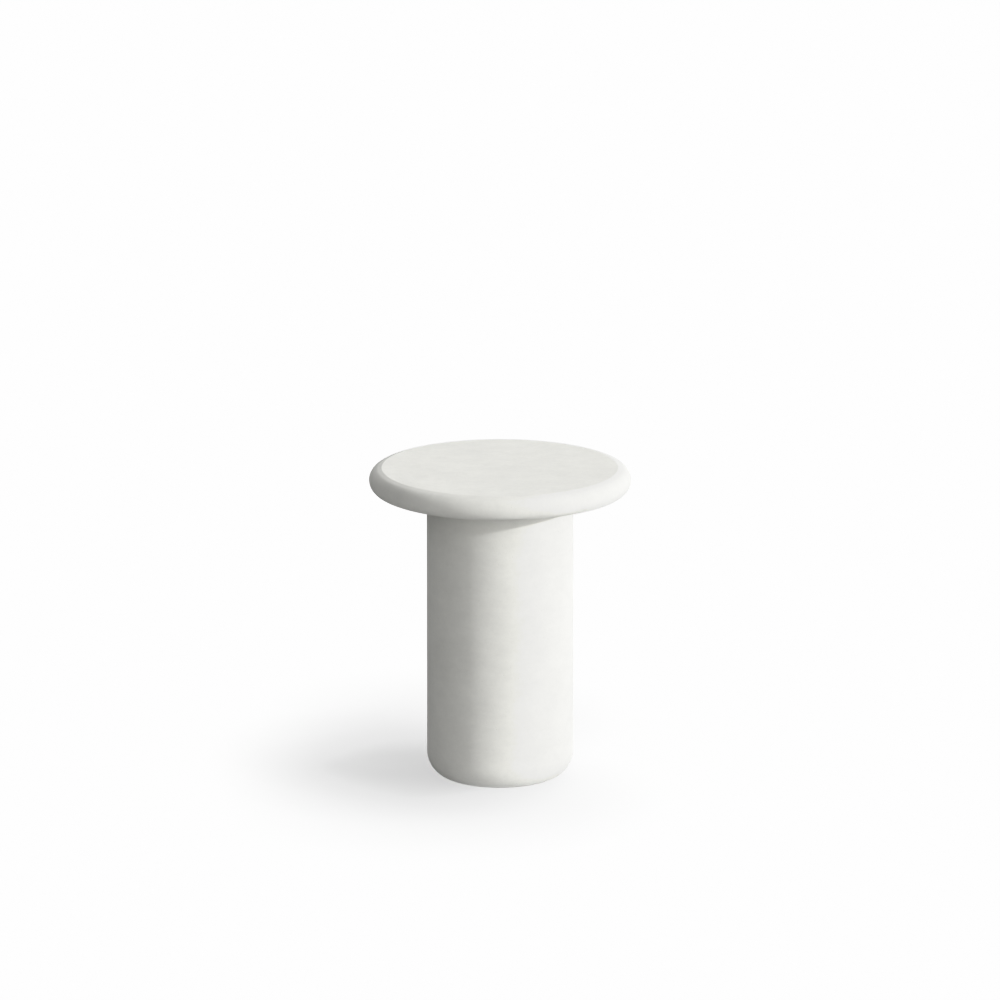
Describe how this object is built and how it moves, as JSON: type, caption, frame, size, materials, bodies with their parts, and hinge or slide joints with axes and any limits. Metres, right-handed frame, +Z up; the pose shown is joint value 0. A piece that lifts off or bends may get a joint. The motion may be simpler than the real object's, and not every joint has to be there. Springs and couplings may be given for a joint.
{
  "type": "round pedestal side table",
  "caption": "Low round side table: a thick slab with a bullnosed edge, bolted to a hollow drum pedestal with a rounded foot on felt pads.",
  "frame": {"origin": "on the floor, at the middle of the table's footprint", "axes": "+Z up along the pedestal's axis, from the floor to the top face; X and Y are equal, as the table is round"},
  "size_m": [0.4198, 0.4198, 0.5118],
  "materials": {
    "microcement": "matte, hand-trowelled, off-white",
    "zinc_steel": "zinc plated, satin",
    "socket_brass": "plain turned",
    "gasket_rubber": "matte",
    "pad_felt": "needle felt"
  },
  "bodies": {
    "root": {"tabletop": "microcement", "pedestal": "microcement", "seat_gasket": "gasket_rubber", "fixing_plate": "zinc_steel", "threaded_socket_1": "socket_brass", "threaded_socket_2": "socket_brass", "threaded_socket_3": "socket_brass", "threaded_socket_4": "socket_brass", "washer_1": "zinc_steel", "washer_2": "zinc_steel", "washer_3": "zinc_steel", "washer_4": "zinc_steel", "top_bolt_1": "zinc_steel", "top_bolt_2": "zinc_steel", "top_bolt_3": "zinc_steel", "top_bolt_4": "zinc_steel", "felt_pad_1": "pad_felt", "felt_pad_2": "pad_felt", "felt_pad_3": "pad_felt", "felt_pad_4": "pad_felt"}
  },
  "joints": []
}
